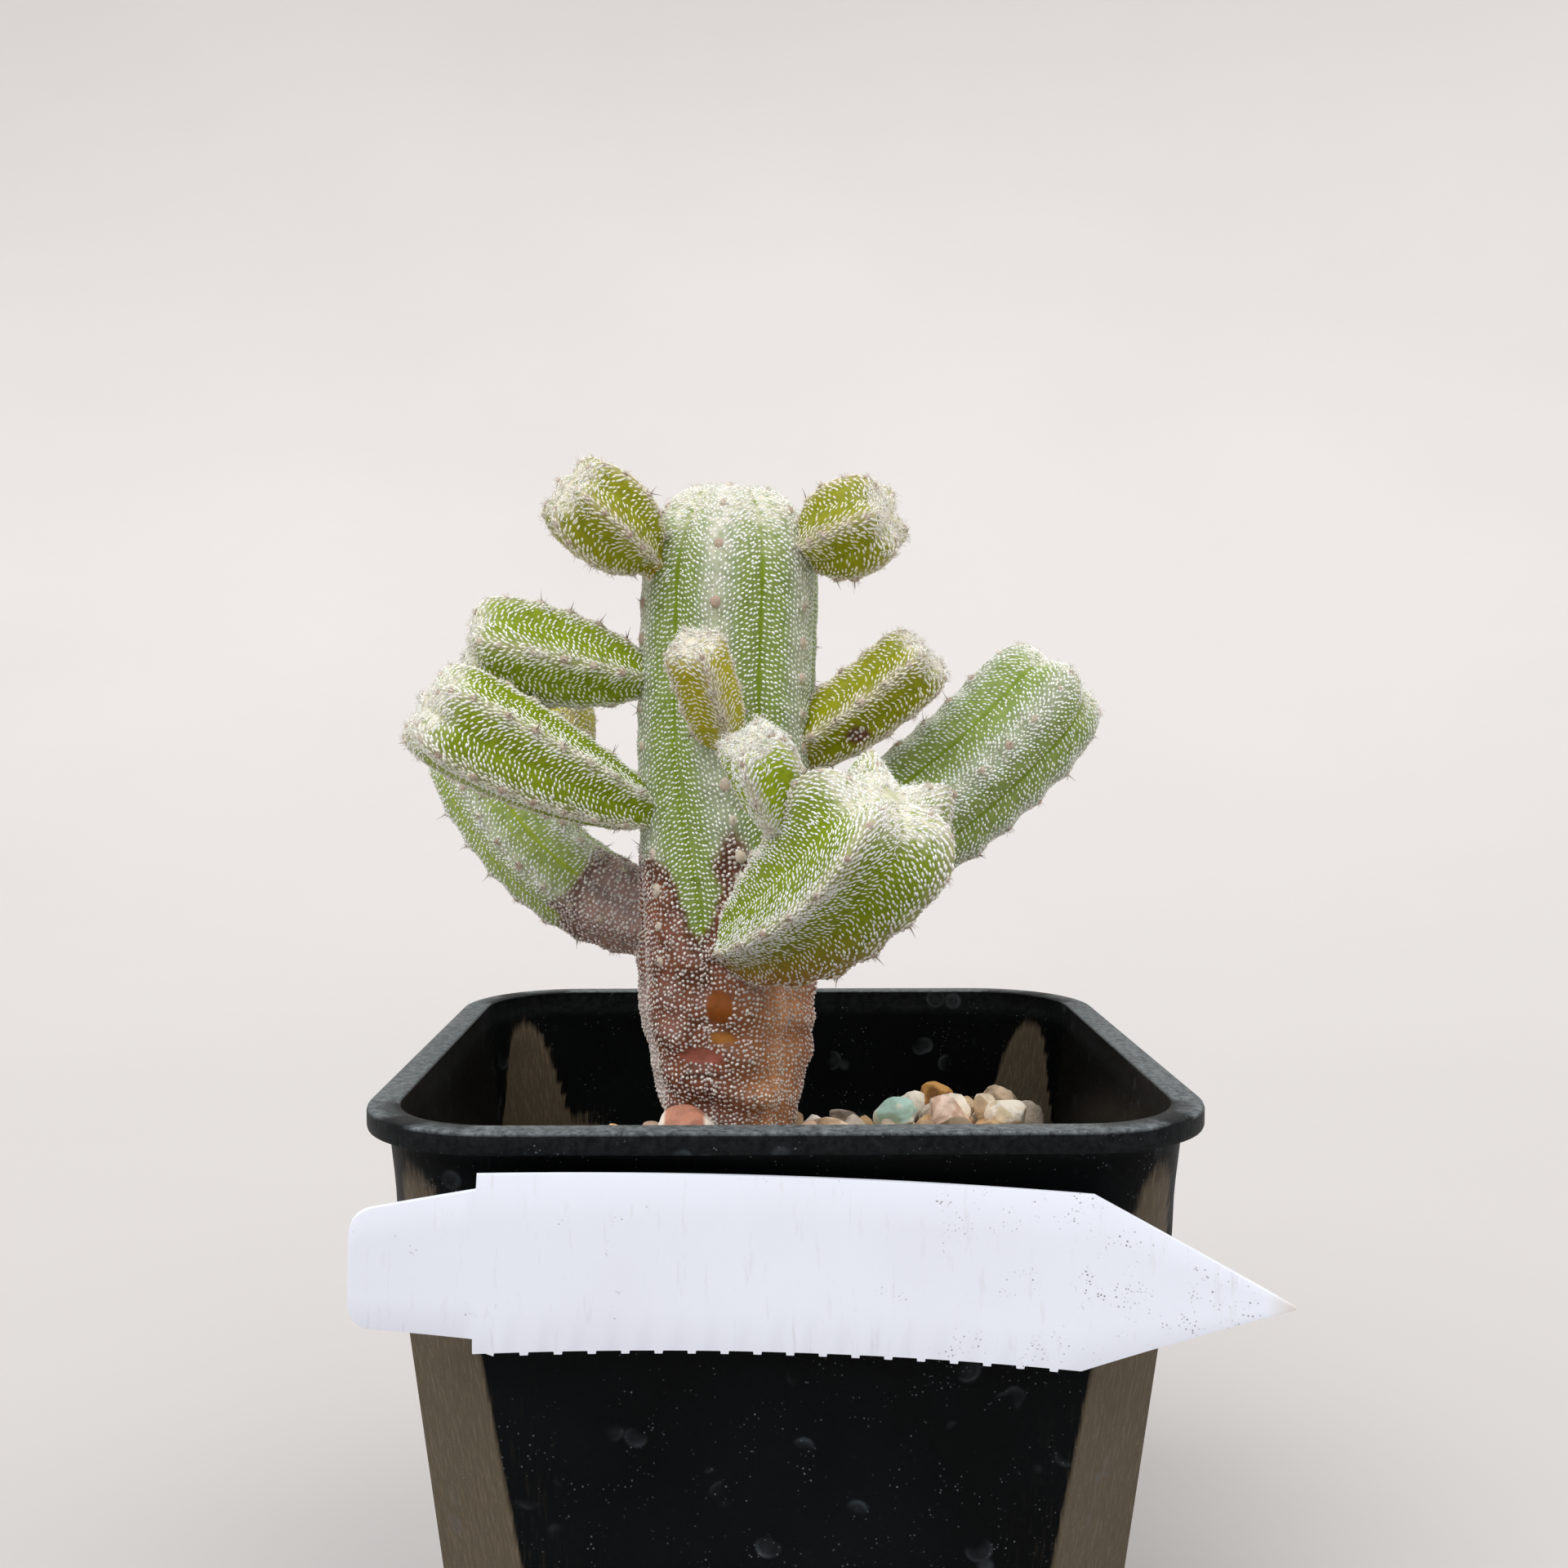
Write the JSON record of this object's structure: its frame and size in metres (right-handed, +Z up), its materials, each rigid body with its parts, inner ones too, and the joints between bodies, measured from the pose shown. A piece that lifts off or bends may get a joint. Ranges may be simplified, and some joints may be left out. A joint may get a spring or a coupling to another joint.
{
  "type": "potted cactus",
  "caption": "Branching monstrose bishop's cap cactus, flecked and ribbed, in a square tapered pot with gravel and a blank pointed plant label.",
  "frame": {"origin": "centre of the pot's underside", "axes": "+Z up, -Y the side the label is on, +X to the right seen from the label side"},
  "size_m": [0.1057, 0.1041, 0.1689],
  "materials": {
    "pot": "black polypropylene, scuffed and dusty",
    "gravel": "loose grit and small stones",
    "cactus": "waxy skin set with white woolly flecks",
    "label": "white plastic sheet, satin",
    "label_tape": "white foam tape",
    "stone_terracotta": "red-brown pebble with a pale rind",
    "stone_pale": "pale broken stone",
    "stone_turquoise": "pale turquoise broken stone",
    "stone_brown": "brown broken stone"
  },
  "bodies": {
    "root": {"pot": "pot", "gravel": "gravel", "cactus": "cactus", "label": "label", "label_tape": "label_tape", "stone_terracotta": "stone_terracotta", "stone_shell_white": "stone_pale", "stone_buff": "stone_pale", "stone_turquoise": "stone_turquoise", "stone_pink": "stone_pale", "stone_ivory": "stone_pale", "stone_ochre": "stone_brown", "stone_sand": "stone_brown", "stone_grey": "stone_brown"}
  },
  "joints": []
}
